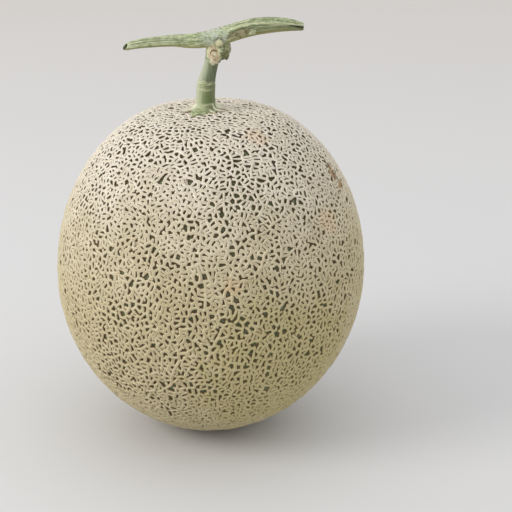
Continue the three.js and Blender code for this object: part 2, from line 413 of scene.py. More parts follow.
# %% A ball of quads
def ball(count):
    """A closed ball of quads with no poles: the grid on a cube's six faces, its lines
    spread by the tangent of their angle, pushed out to length one."""
    step = np.arange(count)
    i, j = (side.ravel() for side in np.meshgrid(step, step, indexing="ij"))
    row = count + 1
    quads = []
    for axis in range(3):
        for side in (0, count):
            corners = []
            for across, along in ((0, 0), (1, 0), (1, 1), (0, 1)):
                place = np.zeros((len(i), 3), np.int64)
                place[:, axis] = side
                place[:, (axis + 1) % 3] = i + across
                place[:, (axis + 2) % 3] = j + along
                corners.append((place[:, 0] * row + place[:, 1]) * row + place[:, 2])
            quads.append(np.stack(corners if side else corners[::-1], 1))
    keys, quads = np.unique(np.concatenate(quads), return_inverse=True)
    place = np.stack([keys // row**2, keys // row % row, keys % row], 1)
    return unit(np.tan((place / count * 2 - 1) * math.pi / 4)), quads.reshape(-1, 4)


print("a coarse ball has", len(ball(4)[0]), "corners")

# %% The whole net
SET_IN = 0.13
CORK_RISE = 1.4
SHOULDER = 0.9
NET_GRID = 420
FLOOR_DISH = 0.4
FLAT_DIP = 1.2

directions, quads = ball(NET_GRID)
height, inside = cork_over(directions)
depth = SET_IN + CORK_RISE * (1 - height) ** SHOULDER + FLOOR_DISH * (-inside).clip(0, 1)
net_points = body_surface(directions, depth, FLAT_DIP * (1 - height))
print(f"{len(net_points)} points, with cork on {(inside > 0).mean():.2f} of them")


# %% A mesh from arrays
def mesh_piece(name, points, faces):
    """A smooth shaded object from an array of points in millimetres and one of faces."""
    sides = faces.shape[1]
    mesh = bpy.data.meshes.new(name)
    mesh.vertices.add(len(points))
    mesh.vertices.foreach_set("co", (points * MM).astype(np.float32).ravel())
    mesh.loops.add(faces.size)
    mesh.loops.foreach_set("vertex_index", faces.ravel().astype(np.int32))
    mesh.polygons.add(len(faces))
    mesh.polygons.foreach_set("loop_start", np.arange(0, faces.size, sides, dtype=np.int32))
    mesh.polygons.foreach_set("use_smooth", np.ones(len(faces), bool))
    mesh.update(calc_edges=True)
    piece = bpy.data.objects.new(name, mesh)
    bpy.context.scene.collection.objects.link(piece)
    print(name, "has", len(points), "points and", len(faces), "faces")
    return piece


def finished_mesh(piece, triangles=False):
    """What a piece's modifiers make of it, as arrays: its points in metres, the way that the
    surface faces at each, and its faces as triangles or quads. The piece is then removed."""
    made = piece.evaluated_get(bpy.context.evaluated_depsgraph_get()).to_mesh()
    if triangles:
        made.calc_loop_triangles()
        faces = np.empty((len(made.loop_triangles), 3), np.int32)
        made.loop_triangles.foreach_get("vertices", faces.ravel())
    else:
        faces = np.empty((len(made.polygons), 4), np.int32)
        made.loops.foreach_get("vertex_index", faces.ravel())
    points, outward = np.empty((2, len(made.vertices) * 3), np.float32)
    made.vertices.foreach_get("co", points)
    made.vertex_normals.foreach_get("vector", outward)
    bpy.data.objects.remove(piece)
    return points.reshape(-1, 3), outward.reshape(-1, 3), faces


whole = mesh_piece("whole_rind", net_points, quads)

# %% The thinned rind
NET_FACES = 820000

thin = whole.modifiers.new("thin", "DECIMATE")
thin.ratio = NET_FACES / (2 * len(quads))
points, normals, faces = finished_mesh(whole, triangles=True)
points = points / MM
print("thinned to", len(points), "points and", len(faces), "faces")


# %% What the cork's colour needs
def direction_of(points):
    """The direction that a surface point was made from: the crown's drop and the lean are
    taken off, then the length."""
    centred = points - [0, 0, CENTRE_Z]
    centred[:, 2] += np.where(centred[:, 2] > 0, crown_press(points), 0)
    centred[:, 0] -= LEAN * centred[:, 2]
    return unit(centred)


# A valley is a point that lies lower than the mean of its neighbours. The rind's paint darkens the
# valleys as painted shade.
height, inside = cork_over(direction_of(points))
beside, number = np.zeros((2, len(height)))
for here, there in ((0, 1), (1, 2), (2, 0)):
    np.add.at(beside, faces[:, here], height[faces[:, there]])
    np.add.at(number, faces[:, here], 1)
valley = beside / number - height
print(f"cork covers {(inside > 0).mean():.2f} of the rind's points")


# %% Six sectors
SECTORS = 6


def mark(piece, name, values):
    """One number for each vertex, kept on the mesh for its material to read."""
    attribute = piece.data.attributes.new(name, "FLOAT", "POINT")
    attribute.data.foreach_set("value", np.asarray(values, np.float32))


middle = points[faces].mean(1)
turns = np.arctan2(middle[:, 1], middle[:, 0]) / math.pi
sector = (turns * (SECTORS // 2) + SECTORS // 2).astype(int).clip(0, SECTORS - 1)
rind = []
for side in range(SECTORS):
    used, corners = np.unique(faces[sector == side], return_inverse=True)
    piece = mesh_piece(f"netted_rind_{side + 1}", points[used], corners.reshape(-1, 3))
    piece.data.normals_split_custom_set_from_vertices(normals[used])
    mark(piece, "inside", inside[used])
    mark(piece, "valley", valley[used])
    rind.append(piece)

# %% [markdown]
# ## The stalk and its vine
#
# A melon is picked with a short length of the vine left on, as the bar of a letter T. The
# stalk, the vine and the swollen node between them grow into each other, so they are made
# as a carver would: first a rough blank of plain tubes and lumps, which a voxel Remesh
# turns into one skin, then smoothing for the soft joins, and last the grooves, rings,
# scars and wrinkles, which are cut by moving each vertex in or out.
#
# A tube is a ring carried along a path. The path is a curve through a few stations, each
# with its place in millimetres from the seat and the radius there.

# %% Paths
VINE_STATIONS = [
    (-39.4, -2.0, 31.2, 1.75), (-31.6, -1.6, 32.6, 2.25), (-18.4, -0.9, 33.6, 2.7),
    (-5.2, -0.2, 33.5, 3.6), (8.0, 0.2, 36.2, 3.95), (21.2, 0.8, 39.6, 4.05),
    (34.4, 1.4, 40.5, 3.3), (44.7, 1.9, 39.4, 1.9),
]
STALK_STATIONS = [
    (-1.8, 0, -2.0, 4.5), (-1.85, 0, 3.4, 4.5), (-1.8, 0, 7.6, 4.5), (-1.5, 0, 12.2, 4.4),
    (-1.3, 0, 13.6, 4.15), (-0.3, 0, 17.7, 3.7), (1.0, 0, 22.6, 3.4), (2.0, 0, 28.0, 3.5),
    (2.4, 0, 34.0, 3.0),
]
UPWARDS, FORWARDS = np.array([0, 0, 1.0]), np.array([0, -1.0, 0])


def path_of(stations, steps, reference):
    """A Catmull-Rom curve through the stations: between two of them, the cubic that leaves
    each along the line between its neighbours. With it come the way along the curve, the
    way nearest to the reference and the way at right angles to both, the radius, and the
    length so far."""
    table = np.array(stations, float)
    table = np.concatenate([2 * table[:1] - table[1:2], table, 2 * table[-1:] - table[-2:-1]])
    step = np.linspace(0, len(stations) - 1, steps)
    row = np.minimum(step.astype(int), len(stations) - 2)
    share = (step - row)[:, None]
    before, start, end, after = (table[row + k] for k in range(4))
    curve = start + share * (end - before) / 2
    curve += share**2 * (2 * before - 5 * start + 4 * end - after) / 2
    curve += share**3 * (3 * start - before - 3 * end + after) / 2
    centre = curve[:, :3] + [0, 0, SEAT_Z]
    along = unit(np.gradient(centre, axis=0))
    first = unit(reference - (along @ reference)[:, None] * along)
    length = np.concatenate([[0], np.cumsum(np.linalg.norm(np.diff(centre, axis=0), axis=1))])
    return {"centre": centre, "along": along, "first": first, "second": np.cross(along, first),
            "radius": curve[:, 3], "length": length}


def radius_at(path, place):
    """The path's own radius at each place along it."""
    return np.interp(place, path["length"], path["radius"])


vine_path = path_of(VINE_STATIONS, 300, UPWARDS)
stalk_path = path_of(STALK_STATIONS, 150, FORWARDS)
VINE_LENGTH = vine_path["length"][-1]
print(f"{VINE_LENGTH:.1f} mm of vine on a stalk {stalk_path['length'][-1]:.1f} mm long")


# %% Tubes
def tube(path, place, radius, shift):
    """Rings round a path, closed at both ends. Row by row: how far along it stands, the
    distance out at each angle, and how far each point is shifted along. Angle 0 points to
    the path's first side way."""
    reach = place.clip(0, path["length"][-1])
    here = {}
    for key in ("centre", "along", "first", "second"):
        parts = [np.interp(reach, path["length"], part) for part in path[key].T]
        here[key] = np.stack(parts, 1)[:, None]
    angle = 2 * math.pi * np.arange(radius.shape[1])[:, None] / radius.shape[1]
    spoke = here["first"] * np.cos(angle) + here["second"] * np.sin(angle)
    rings = here["centre"] + spoke * radius[..., None]
    rings = rings + here["along"] * (shift + (place - reach)[:, None])[..., None]
    middles = rings[[0, -1]].mean(1, keepdims=True).repeat(len(angle), 1)
    rings = np.concatenate([middles[:1], rings, middles[1:]])
    index = np.arange(rings[..., 0].size).reshape(rings.shape[:2])
    beside = np.roll(index, -1, 1)
    quads = np.stack([index[:-1], beside[:-1], beside[1:], index[1:]], -1).reshape(-1, 4)
    return rings.reshape(-1, 3), quads


sample = tube(stalk_path, np.array([0, 1.0]), np.ones((2, 8)), 0)
print("a tube with two rings of eight has", len(sample[1]), "faces")

# %% The vine's blank
VINE_RIBS = 5
RIB_SHARE = 0.05
RING_STEP = 0.3
VINE_SIDES = 96
# Each row: how far in from the vine's end, and the ring's share of the radius there. From
# the first to the last they climb the hollow's wall, go round its lip and reach the vine.
HOLLOW = [
    (5.0, 0.2), (3.4, 0.42), (1.4, 0.52), (0.3, 0.56), (-0.1, 0.66), (-0.1, 0.86), (0.3, 0.98),
]
HOLLOW_LIP = 0.8
SLANTS = (0.75, -0.15)
SLANT_SIDE = math.radians(38)
SLANT_REACH = 6

inset, share = np.array(HOLLOW).T
run = np.arange(HOLLOW_LIP, VINE_LENGTH - HOLLOW_LIP, RING_STEP)
place = np.concatenate([inset, run, VINE_LENGTH - inset[::-1]])
share = np.concatenate([share, np.ones(len(run)), share[::-1]])
angle = np.linspace(0, 2 * math.pi, VINE_SIDES, endpoint=False)
round_radius = radius_at(vine_path, place)[:, None]
ribs = 1 + RIB_SHARE * np.cos(VINE_RIBS * angle + 0.5)
to_ends = (place, VINE_LENGTH - place)
from_left, from_right = (np.clip(1 - end / SLANT_REACH, 0, 1) ** 2 for end in to_ends)
slant = (SLANTS[0] * from_left + SLANTS[1] * from_right)[:, None] * np.cos(angle - SLANT_SIDE)
vine_blank = tube(vine_path, place, round_radius * share[:, None] * ribs, slant * round_radius)
print(len(vine_blank[0]), "points in the vine's blank")

# %% The stalk's blank
STALK_SIDES = 120
FLARE = 1.3
FLARE_FALL = 1.15
FLARE_LOBES = 7
LOBE_RISE = 0.35
TONGUE = {"turn": math.radians(-40), "spread": math.radians(24), "reach": 4.4}

place = np.arange(0, stalk_path["length"][-1], RING_STEP)
angle = np.linspace(0, 2 * math.pi, STALK_SIDES, endpoint=False)
up = np.interp(place, stalk_path["length"], stalk_path["centre"][:, 2])[:, None] - SEAT_Z
turned = (angle - TONGUE["turn"] + math.pi) % (2 * math.pi) - math.pi
flare = FLARE + TONGUE["reach"] * np.exp(-((turned / TONGUE["spread"]) ** 2))
flare += LOBE_RISE * np.cos(FLARE_LOBES * angle + 1)
stalk_radius = radius_at(stalk_path, place)[:, None] + flare * np.exp(-up.clip(0) / FLARE_FALL)
stalk_blank = tube(stalk_path, place, stalk_radius, np.zeros_like(stalk_radius))
print(len(stalk_blank[0]), "points in the stalk's blank")

# %% Roots of the foot
# The profile's rows: distance out, height above the seat and radius. The roots' rows: the
# way that each sets off in degrees, how far it sways on its way, and its size.
ROOT_PROFILE = [
    (4.2, 4.6, 0.3), (4.5, 3.0, 0.6), (5.2, 1.6, 0.75), (6.6, 0.7, 0.75), (8.6, 0.2, 0.75),
    (10.6, -0.1, 0.7), (12.4, -0.7, 0.5),
]
ROOTS = [
    (-70, -10, 0.9), (-98, 22, 1.0), (-135, 10, 0.85), (-165, -8, 1.0), (165, 12, 0.9),
    (133, -12, 1.0), (108, -26, 1.1), (80, 20, 0.8), (44, 34, 0.7), (12, 30, 0.45),
]
ROOT_START = 4.3
ROOT_REACH = 0.88
ROOT_RINGS, ROOT_SIDES = 40, 16

root_paths, root_blanks = [], []
for bearing, sway, size in ROOTS:
    stations = []
    for step, (out, height, thick) in enumerate(ROOT_PROFILE):
        bent = math.radians(bearing + sway * step / len(ROOT_PROFILE))
        out = ROOT_START + (out - ROOT_START) * size * ROOT_REACH
        level = (STEM_X + out * math.sin(bent), -out * math.cos(bent))
        stations.append((*level, height * size, thick * size))
    path = path_of(stations, 50, UPWARDS)
    place = np.linspace(0, path["length"][-1], ROOT_RINGS)
    radius = radius_at(path, place)[:, None] * np.ones(ROOT_SIDES)
    root_paths.append(path)
    root_blanks.append(tube(path, place, radius, np.zeros_like(radius)))
print(len(root_blanks), "roots")

# %% Lumps of the node
LUMPS = [  # x, y, up, three radii, turn in the upright plane
    (2.2, -1.7, 26.8, (3.2, 2.7, 4.7), -0.5),
    (5.9, -0.2, 29.4, (4.3, 3.9, 5.4), 0.2),
    (4.9, -3.7, 33.1, (2.0, 1.4, 1.7), 0.3),
    (8.6, -0.4, 25.8, (0.8, 1.6, 1.9), 0.3),
]
LUMP_GRID = 20


def lump(x, y, up, radii, turn):
    """A ball stretched to three radii and turned from upright towards x."""
    directions, quads = ball(LUMP_GRID)
    points = directions * radii
    level = points[:, 0] * math.cos(turn) + points[:, 2] * math.sin(turn)
    upright = points[:, 2] * math.cos(turn) - points[:, 0] * math.sin(turn)
    return np.stack([level + x, points[:, 1] + y, upright + up + SEAT_Z], 1), quads


lumps = [lump(*row) for row in LUMPS]
print(len(lumps), "lumps at the node")

# %% One skin over the blank
VOXEL = 0.24
SOFTENING = 0.5
SOFTENING_ROUNDS = 5

blanks = [vine_blank, stalk_blank, *root_blanks, *lumps]
offsets = np.cumsum([0] + [len(points) for points, quads in blanks])
blank_points = np.concatenate([points for points, quads in blanks])
blank_quads = np.concatenate([quads + offset for (_, quads), offset in zip(blanks, offsets)])
blank = mesh_piece("stem_blank", blank_points, blank_quads)
fuse = blank.modifiers.new("fuse", "REMESH")
fuse.mode, fuse.voxel_size = "VOXEL", VOXEL * MM
soften = blank.modifiers.new("soften", "SMOOTH")
soften.factor, soften.iterations = SOFTENING, SOFTENING_ROUNDS
fused_points, outward, stem_quads = finished_mesh(blank)
stem_points = fused_points.astype(float) / MM
print(len(stem_points), "points and", len(stem_quads), "quads in the stem's skin")

# %% [markdown]
# Now the carving. Each feature is a number from 0 to 1 at every vertex: how much of a
# groove, a scar, a collar or a wrinkle is there. The same numbers move the vertices and
# later mix the colours, so that a dark line always lies in its groove.
#
# Grooves run along the vine at an angle that drifts a little. Marks on the node are placed
# by x and by height above the seat, on the side that they are on.

# %% Measures for the carving
MEASURING_BLOCK = 4000


def rise(values, low, high):
    """0 at low and under, 1 at high and over, and a smooth rise between."""
    share = ((values - low) / (high - low)).clip(0, 1)
    return share * share * (3 - 2 * share)


def fall(values, low, high):
    """1 at low and under, 0 at high and over, and a smooth fall between."""
    return 1 - rise(values, low, high)


def bell(values, width):
    """One at nought, falling on both sides as a bell curve of this width."""
    return np.exp(-((values / width) ** 2))


def measured_from(path, points):
    """For each point: how far along the path its nearest place is, its angle round it, and
    its distance out."""
    nearest = np.concatenate([
        ((points[block:block + MEASURING_BLOCK, None] - path["centre"]) ** 2).sum(-1).argmin(1)
        for block in range(0, len(points), MEASURING_BLOCK)])
    away = points - path["centre"][nearest]
    ways = ("first", "second", "along")
    first, second, along = ((away * path[way][nearest]).sum(1) for way in ways)
    return path["length"][nearest] + along, np.arctan2(second, first), np.hypot(first, second)


vine_place, vine_angle, vine_out = measured_from(vine_path, stem_points)
_, stalk_angle, stalk_out = measured_from(stalk_path, stem_points)
x, y, up = stem_points[:, 0], stem_points[:, 1], stem_points[:, 2] - SEAT_Z
vine_radius = radius_at(vine_path, vine_place)
vine_x = np.interp(vine_place, vine_path["length"], vine_path["centre"][:, 0])
print("carving", len(x), "points")

# %% Where each part of the stem is
FAR_OFF = 9.0

on_vine = fall(vine_out / vine_radius, 1.25, 1.7)
on_stalk = fall(stalk_out, 5.2, 6.2) * fall(up, 24, 27)
in_front = fall(y, -1.2, -0.2)
root_gap = np.full(len(x), FAR_OFF)
low = up < FAR_OFF
for path in root_paths:
    place, _, out = measured_from(path, stem_points[low])
    root_gap[low] = np.minimum(root_gap[low], out / radius_at(path, place))
print("the stalk has", int((on_stalk > 0.5).sum()), "points, the vine", int((on_vine > 0.5).sum()))


# %% Grooves along the vine
def way_round(angle, middle):
    """The distance round the vine from a middle angle, in millimetres."""
    return ((angle - middle + math.pi) % (2 * math.pi) - math.pi) * vine_radius


# Each row: x where it starts and ends, the angle in degrees at both (0 is on top and 90 in
# front), how deep it is, and half its width. One of the full depth is also fully dark.
GROOVES = [
    (-38, -17, 27, 38, 0.3, 0.25), (-38, -10, 66, 70, 0.34, 0.26), (-30, -16, 90, 94, 0.14, 0.24),
    (-28, -6, 50, 54, 0.16, 0.24), (-38, -12, 132, 126, 0.2, 0.3), (-41, -4, 172, 165, 0.3, 0.45),
    (-41, -6, 214, 222, 0.32, 0.4), (-36, 4, 262, 268, 0.3, 0.4), (-41, -10, 315, 322, 0.28, 0.36),
    (12, 34, 22, 27, 0.24, 0.25), (18, 42, 6, 12, 0.14, 0.25), (15, 44, 38, 46, 0.16, 0.25),
    (9, 46, 62, 84, 0.3, 0.3), (24, 44, 100, 104, 0.16, 0.28), (18, 46, 124, 130, 0.2, 0.3),
    (12, 45, 165, 160, 0.3, 0.45), (6, 46, 205, 214, 0.3, 0.4), (10, 44, 248, 255, 0.34, 0.42),
    (4, 38, 296, 288, 0.3, 0.4), (16, 46, 335, 330, 0.28, 0.36), (-12, 14, 300, 318, 0.2, 0.4),
]
FULL_DEPTH = 0.3

groove, groove_depth = np.zeros((2, len(x)))
sideways = stem_points * [1, 0, 0]
wobble = 0.04 * waves(sideways, 11, 31) + 0.015 * waves(sideways, 4, 32)
for start, end, first_angle, last_angle, deep, half in GROOVES:
    share = ((vine_x - start) / (end - start)).clip(0, 1)
    middle = np.radians(first_angle + (last_angle - first_angle) * share) + wobble
    run = rise(vine_x, start - 1, start + 3) * fall(vine_x, end - 3, end + 1)
    cut = bell(way_round(vine_angle, middle), half) * run * on_vine
    groove = np.maximum(groove, cut * min(1, deep / FULL_DEPTH))
    groove_depth = np.maximum(groove_depth, cut * deep)
print("deepest groove", round(float(groove_depth.max()), 2), "mm")

# %% Split end and fibres
slot_angle = np.radians(78 + 8 * rise(vine_x, 36, 46)) + wobble
slot_width = 0.3 + 0.25 * rise(vine_x, 37, 45)
slot = bell((vine_angle - slot_angle) * vine_radius, slot_width) * rise(vine_x, 36.5, 40) * on_vine
drawn_along = np.stack([vine_x * 0.12, np.sin(vine_angle) * 4, np.cos(vine_angle) * 4], 1)
fibres = waves(drawn_along, 1.1, 33) * on_vine
print("the split runs over", int((slot > 0.5).sum()), "points")


# %% Spots and lines
def spot(x_middle, up_middle, wide, tall, turn=0.0, ragged=0.12):
    """1 inside an ellipse in the upright plane and 0 outside it, on the front side, with
    an edge that wanders, and the distance from its middle in its own radii."""
    aside, above = x - x_middle, up - up_middle
    level = aside * math.cos(turn) + above * math.sin(turn)
    upright = above * math.cos(turn) - aside * math.sin(turn)
    radius = np.hypot(level / wide, upright / tall) + ragged * waves(stem_points, 1.6, 40)
    return fall(radius, 0.85, 1.1) * in_front, np.where(in_front > 0, radius, FAR_OFF)


def near_line(corners, wide):
    """1 on a line through these corners of the upright plane, falling off as a bell."""
    corners = np.array(corners, float)
    gap = np.full(len(x), FAR_OFF)
    for a, b in zip(corners, corners[1:]):
        run = b - a
        away = np.stack([x, up], 1) - a
        share = ((away @ run) / (run @ run)).clip(0, 1)
        gap = np.minimum(gap, np.linalg.norm(away - share[:, None] * run, axis=1))
    return bell(gap, wide) * in_front


# The scar is where a leaf's stalk broke off, and cracks run over it.
CRACKS = [  # corners as x and up, and how open it is
    ([(0.6, 28.3), (1.2, 29.5), (2.2, 29.9), (3.0, 29.3), (3.8, 29.2)], 1),
    ([(1.3, 27.4), (2.1, 26.7), (3.0, 27.0)], 0.6),
    ([(2.4, 25.4), (3.2, 24.4)], 0.5),
]

scar, scar_radius = spot(2.0, 27.5, 2.7, 4.5, 0.12, 0.06)
scar_rim = bell(scar_radius - 1.0, 0.16)
crack = np.maximum.reduce([open_by * near_line(corners, 0.2) for corners, open_by in CRACKS])
crack *= scar
print("scar and crack cover", int((scar > 0.5).sum()), "and", int((crack > 0.5).sum()), "points")

# %% Knob, lip and torn strip
KNOB_X, KNOB_UP = 4.8, 33.2

knob, knob_radius = spot(KNOB_X, KNOB_UP, 1.9, 1.7)
knob_angle = np.arctan2(up - KNOB_UP, x - KNOB_X)
crescent = bell(knob_radius - 1.22, 0.2) * np.abs(np.sin(knob_angle - 0.25)) ** 0.5
crescent *= fall(np.abs(knob_radius), 1.6, 1.9)
olive = spot(7.4, 26.8, 1.7, 3.4, 0.35, 0.3)[0]
lip = near_line([(3.2, 32.0), (4.6, 30.6), (5.2, 29.4)], 0.4)
tear = near_line([(8.7, 34.8), (10.2, 37.0), (12.2, 38.5), (16.0, 39.6), (21.0, 40.3)], 0.3)
print("the knob covers", int((knob > 0.5).sum()), "points")

# %% Rings and collars
COLLAR_FOOT, COLLAR_TOP = (12.5, 12.9), (14.0, 14.5)
THIN_COLLAR = 10.5

ring_up = 24.4 - 0.46 * (x - 1.2)
ring = bell(up - ring_up, 0.36) * on_stalk * (1 - scar)
ring = np.maximum(ring, 0.5 * bell(up - ring_up + 2.2, 0.25) * on_stalk)
around = waves(stem_points, 4, 50)
drift = 0.25 * around
collar = rise(up, *COLLAR_FOOT) * fall(up, COLLAR_TOP[0] + drift, COLLAR_TOP[1] + drift)
thin_collar = bell(up - THIN_COLLAR - 0.15 * around, 0.42)
slits = near_line([(-5.2, 12.6), (-0.3, 13.5)], 0.22) * collar
slits = np.maximum(slits, 0.7 * near_line([(-4.6, 11.4), (-1.2, 12.3), (1.4, 12.0)], 0.24))
front_left = 0.25 + 0.65 * fall(x + 0.6 * around, -1, 2.5)
collar, thin_collar = collar * on_stalk * front_left, thin_collar * on_stalk * front_left
print("the ring is", round(float(ring_up[ring > 0.4].mean()), 1), "mm up the stalk")

# %% Flakes, wrinkles and the foot
flaky = rise(x, 6.2, 8.5) * rise(up, 22.5, 24) * fall(up, 31.5, 33.5) * fall(vine_out, 9, 11)
flakes = waves(stem_points * [1, 1, 0.7], 1.7, 51)
node = fall(np.hypot(x - 3, (up - 33) * 0.8), 7, 12) * rise(up, 26, 30)
wrinkles = waves(stem_points * [0.5, 1, 1], 0.9, 52) * node * (1 - scar) * (1 - knob)
root = fall(root_gap, 0.95, 1.35) * fall(up, 4.4, 5.4)
band = rise(up, 3.4, 4.4) * fall(up, 8, 11) * bell(x + 1.2, 2.4) * in_front
fringe = bell(up - 3.2 - 0.2 * np.cos(1.3 * x), 0.5) * fall(np.abs(x + 0.8), 2.6, 3.4) * in_front
print("the roots cover", int((root > 0.5).sum()), "points of the foot")

# %% Brown strip, knot and ridge
rough = waves(stem_points, 0.75, 53)
pits = rise(waves(stem_points, 1.15, 54), 0.7, 1.4)
brown = spot(15.0, 38.0, 4.6, 2.0, 0.32, 0.2)[0]
brown = np.maximum(brown, 0.8 * spot(10.8, 37.0, 2.4, 1.3, 0.6, 0.2)[0])
bump_spot = spot(20.6, 38.0, 1.9, 1.2, 0.4)[0]
knot_gap = np.hypot(x - 31.6, way_round(vine_angle, math.radians(24)))
knot = bell(knot_gap, 1.0)
knot_ring = bell(knot_gap - 1.5, 0.35)
ridge_angle = np.radians(np.interp(vine_x, [6, 10, 20, 31, 46], [40, 45, 50, 72, 72]))
ridge = bell((vine_angle - ridge_angle) * vine_radius, 0.5) * rise(vine_x, 7, 10) * on_vine
print("the brown strip covers", int((brown > 0.5).sum()), "points")

# %% The carved stem
# Each number is how many millimetres its feature stands out, or is cut in if it is less
# than nought.
move = -groove_depth - 1.1 * slot + 0.025 * fibres + 0.015 * rough
move += scar * (-0.12 + 0.07 * rough - 0.12 * pits) + 0.2 * scar_rim - 0.5 * crack
move += 0.2 * lip - 0.4 * crescent + 0.08 * knob * rough - 0.25 * tear
move += -0.22 * ring + 0.14 * collar + 0.1 * thin_collar - 0.2 * slits * on_stalk
move += flaky * (0.22 * flakes + 0.06 * rough) + 0.1 * wrinkles
move += (
    brown * (-0.12 + 0.06 * rough) + 0.3 * bump_spot
    + 0.25 * knot - 0.08 * knot_ring + 0.2 * ridge
)
carved = stem_points + outward * move[:, None]
stem = mesh_piece("stalk_and_vine", carved, stem_quads)
print("the highest point is", round(float(carved[:, 2].max()), 2), "mm up")

# %% Marks for the stem's colours
STEM_TALL = 45

near_end = np.maximum(fall(vine_place, 5, 7), fall(VINE_LENGTH - vine_place, 5, 7))
# The hollows at the cut ends, like the split, are painted near black later, as painted shade.
hollow = fall(vine_out / vine_radius, 0.62, 0.76) * near_end * (vine_out < 3)
bloom = fall(np.hypot((x - 2.5) / 7.5, (up - 36.0) / 5.0), 0.5, 1.15) * (y < 3) * (1 - on_stalk)
pale = [collar * 0.7, thin_collar * 0.6, scar_rim * 0.9, lip, bump_spot * 0.8, fringe * 0.7]
dark = [0.6 * crescent, 0.6 * tear, 0.5 * ring, 0.5 * slits * on_stalk, 0.25 * knot_ring]
marks = {
    "groove": groove, "ridge": ridge, "scar": scar, "crack": crack, "pits": pits * scar,
    "pale": np.maximum.reduce(pale), "dark": np.maximum.reduce([*dark, hollow, slot]),
    "knob": knob, "olive": olive, "root": root, "band": band, "bloom": bloom, "flaky": flaky,
    "brown": brown, "stalk": on_stalk, "above": up / STEM_TALL,
    # Painted light and shade: the stalk's left side is painted paler and its right side darker.
    "painted_lit_side": on_stalk * rise(-stalk_angle, -0.1, 1.3),
    "painted_shade_side": on_stalk * rise(stalk_angle, -0.6, 0.7),
    "far": rise(np.hypot(x - STEM_X, y), 5.5, 9),
    # Painted shade: the front and lower side of the right arm is painted darker.
    "front": rise(vine_angle, 0.9, 1.5) * on_vine * rise(vine_x, 6, 14),
    "tip": rise(-vine_x, 4, 26) * on_vine,
    # Painted highlight: the vine's underside is painted a yellow olive, as light from below.
    "under": rise(np.abs(vine_angle), 1.7, 2.4) * on_vine,
    "wrinkle": rise(wrinkles, 0.4, 1.3),
}
for name, values in marks.items():
    mark(stem, name, values)
print(len(marks), "marks on the stem")

# %% [markdown]
# ## Paint
#
# Shader maths is easier to read as Python than as a drawing of nodes. One small class
# stands for an output socket and turns each operator into its Math node. Every other node
# comes from its one method `node`.


# %% A socket that can be calculated with
class Wire:
    """An output socket of a material's node tree. Operators add Math nodes, and `node`
    adds any other one."""

    def __init__(self, tree, socket=None):
        self.tree, self.socket = tree, socket

    def node(self, kind, settings=None, inputs=None, output=0):
        """A node of this kind with its settings and inputs, and one of its outputs."""
        made = self.tree.nodes.new(kind)
        for name, value in (settings or {}).items():
            setattr(made, name, value)
        for name, value in (inputs or {}).items():
            if isinstance(value, Wire):
                self.tree.links.new(value.socket, made.inputs[name])
            else:
                made.inputs[name].default_value = value
        return Wire(self.tree, made.outputs[output] if len(made.outputs) else None)

    def maths(self, operation, *values):
        """A Math node that does this operation on the values."""
        return self.node("ShaderNodeMath", {"operation": operation}, dict(enumerate(values)))

    def __add__(self, other):
        return self.maths("ADD", self, other)

    def __radd__(self, other):
        return self.maths("ADD", other, self)

    def __sub__(self, other):
        return self.maths("SUBTRACT", self, other)

    def __rsub__(self, other):
        return self.maths("SUBTRACT", other, self)

    def __mul__(self, other):
        return self.maths("MULTIPLY", self, other)

    def __rmul__(self, other):
        return self.maths("MULTIPLY", other, self)

    def between(self, low, high):
        """0 at low and under, 1 at high and over, and a smooth rise between."""
        return self.node("ShaderNodeMapRange", {"interpolation_type": "SMOOTHSTEP"},
                         {"Value": self, "From Min": low, "From Max": high})

    def mix(self, share, first, second):
        """A colour that goes from the first to the second as the share goes from 0 to 1."""
        return self.node("ShaderNodeMix", {"data_type": "RGBA"}, {0: share, 6: first, 7: second}, 2)

    def blotched(self, first, second, low=0.4, high=0.6):
        """The first colour where this noise is low and the second where it is high."""
        return self.mix(self.between(low, high), first, second)

    def layered(self, first, layers):
        """The first colour with layers over it, each a share and the colour laid on."""
        for share, paint in layers:
            first = self.mix(share, first, paint)
        return first

    def mark(self, name):
        """The number that the mesh keeps under this name."""
        return self.node("ShaderNodeAttribute", {"attribute_name": name}, output="Fac")

    def noise(self, places, per_metre, detail=3, rough=0.55):
        """Cloudy noise from 0 to 1 with this many clouds to a metre."""
        return self.node("ShaderNodeTexNoise", None, {
            "Vector": places, "Scale": per_metre, "Detail": detail, "Roughness": rough})

    def bump(self, height, strength, distance):
        """The normals of a surface with this height, where 1 stands a distance out."""
        return self.node("ShaderNodeBump", None, {
            "Strength": strength, "Distance": distance, "Height": height})


print("a wire can", ", ".join(name for name in vars(Wire) if name[0] != "_"))


# %% Materials and colours
def new_material(name):
    """An empty material, the wire to build it with, and the object's own coordinates."""
    material = bpy.data.materials.new(name)
    material.use_nodes = True
    material.node_tree.nodes.clear()
    wire = Wire(material.node_tree)
    return material, wire, wire.node("ShaderNodeTexCoord", output="Object")


def finish_material(material, wire, sockets):
    """A Principled surface with these values and wires on its sockets, at the material's
    output."""
    surface = wire.node("ShaderNodeBsdfPrincipled", None, sockets)
    wire.node("ShaderNodeOutputMaterial", None, {"Surface": surface})
    print(material.name, "has", len(wire.tree.nodes), "nodes")
    return material


def colour(red, green, blue):
    """A display colour from 0 to 255 as the linear colour that shaders use."""
    share = np.array([red, green, blue]) / 255
    linear = np.where(share <= 0.04045, share / 12.92, ((share + 0.055) / 1.055) ** 2.4)
    return (*linear.tolist(), 1)


print("half grey is", round(colour(128, 128, 128)[0], 3), "in linear light")
